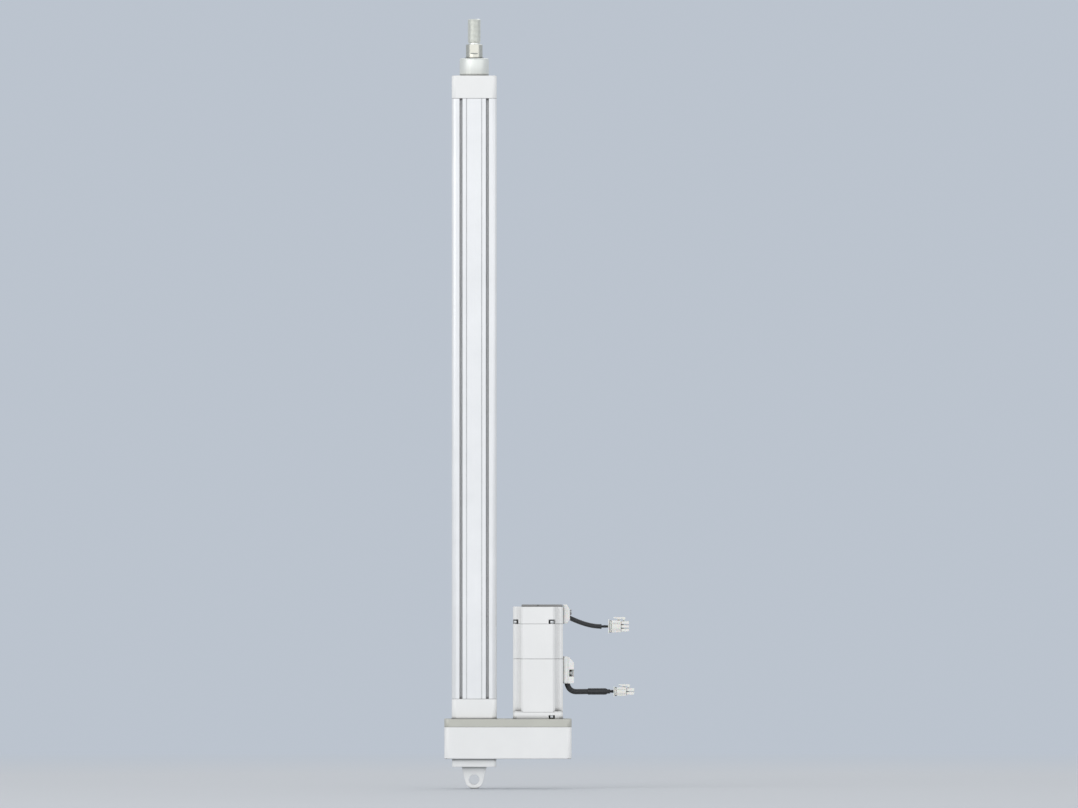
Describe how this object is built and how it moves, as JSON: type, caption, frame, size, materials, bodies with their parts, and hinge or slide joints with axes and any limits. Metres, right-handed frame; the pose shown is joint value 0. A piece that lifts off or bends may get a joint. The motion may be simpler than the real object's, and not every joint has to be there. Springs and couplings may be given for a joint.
{
  "type": "electric cylinder",
  "caption": "Electric cylinder with a square profile, hollow rod with a threaded end, rear swivel eye, belt housing and a servo motor mounted parallel to it.",
  "frame": {"origin": "centre of the rear eye's hole", "axes": "+Z along the cylinder towards the rod end, +X towards the motor, +Y along the eye's hole"},
  "size_m": [0.2279, 0.07, 0.9237],
  "materials": {
    "cast_white": "fine satin powder coat",
    "anodised_profile": "matt clear anodised extrusion",
    "plate_grey": "bead blasted, warm grey anodised",
    "collar_metal": "turned and clear anodised",
    "motor_white": "satin paint on die casting",
    "cover_white": "fine moulded texture",
    "lid_grey": "fine moulded texture",
    "rod_chrome": "ground hard chrome",
    "thread_steel": "rolled thread, bright",
    "screw_steel": "zinc plated",
    "machined_steel": "ground and turned",
    "bearing_steel": "ground",
    "turned_aluminium": "turned",
    "core_iron": "stacked laminations",
    "winding_copper": "enamelled copper wire",
    "magnet_dark": "coated sintered magnet",
    "bush_polymer": "filled polymer",
    "seal_rubber": "moulded elastomer",
    "belt_rubber": "moulded, fabric facing",
    "board_green": "solder mask",
    "disc_clear": "coated disc",
    "lead_black": "soft sheath",
    "sleeve_black": "shrink sleeve",
    "wire_black": "insulated wire",
    "connector_nylon": "natural nylon",
    "contact_tin": "tin plated"
  },
  "bodies": {
    "cylinder": {"rear_eye": "cast_white", "eye_screws": "screw_steel", "belt_housing": "cast_white", "drive_plate": "plate_grey", "plate_screws": "screw_steel", "rear_head": "cast_white", "rear_tie_screws": "screw_steel", "profile_tube": "anodised_profile", "front_head": "cast_white", "front_tie_screws": "screw_steel", "front_collar": "collar_metal", "rod_bush": "bush_polymer", "rod_wiper": "seal_rubber", "bumpers": "seal_rubber", "screw_bearing_outer_rings": "bearing_steel", "timing_belt": "belt_rubber", "motor_flange": "motor_white", "motor_bolts": "screw_steel", "motor_tie_nuts": "screw_steel", "motor_tie_screws": "screw_steel", "stator_housing": "motor_white", "stator_core": "core_iron", "stator_windings": "winding_copper", "motor_bearing_outer_rings": "bearing_steel", "brake_housing": "motor_white", "brake_coil": "machined_steel", "encoder_cap": "motor_white", "encoder_board": "board_green", "encoder_top_cover": "lid_grey", "encoder_cable_cover": "cover_white", "power_cable_cover": "cover_white", "power_cover_lid": "cover_white", "cover_screws": "screw_steel", "encoder_lead": "lead_black", "encoder_wires": "wire_black", "encoder_connector": "connector_nylon", "encoder_contacts": "contact_tin", "power_lead": "lead_black", "power_sleeve": "sleeve_black", "power_wires": "wire_black", "power_connector": "connector_nylon", "power_contacts": "contact_tin"},
    "rod": {"piston_rod": "rod_chrome", "rod_end_stud": "thread_steel", "nut_carrier": "turned_aluminium", "wear_ring": "bush_polymer", "carrier_magnet": "magnet_dark", "guide_keys": "bush_polymer", "ball_nut": "machined_steel"},
    "screw": {"ball_screw": "machined_steel", "screw_bearing_inner_rings": "bearing_steel", "bearing_lock_nut": "machined_steel", "screw_tip_bush": "bush_polymer", "screw_pulley": "turned_aluminium"},
    "rotor": {"motor_shaft": "machined_steel", "rotor_magnets": "magnet_dark", "motor_bearing_inner_rings": "bearing_steel", "motor_pulley": "turned_aluminium", "brake_disc": "machined_steel", "encoder_disc": "disc_clear"}
  },
  "joints": [
    {"name": "rod_slide", "type": "slide", "parent": "cylinder", "child": "rod", "axis": [0, 0, 1], "range_m": [0, 0.6]},
    {"name": "screw_spin", "type": "hinge", "parent": "cylinder", "child": "screw", "pos_m": [0, 0, 0.082], "axis": [0, 0, 1], "range_deg": [-21600, 0]},
    {"name": "motor_spin", "type": "hinge", "parent": "cylinder", "child": "rotor", "pos_m": [0.0765, 0, 0.082], "axis": [0, 0, 1], "range_deg": [-21600, 0]}
  ],
  "couplings": [
    {"joint": "screw_spin", "follows": "rod_slide", "rad_per_m": -628.32},
    {"joint": "motor_spin", "follows": "rod_slide", "rad_per_m": -628.32}
  ]
}
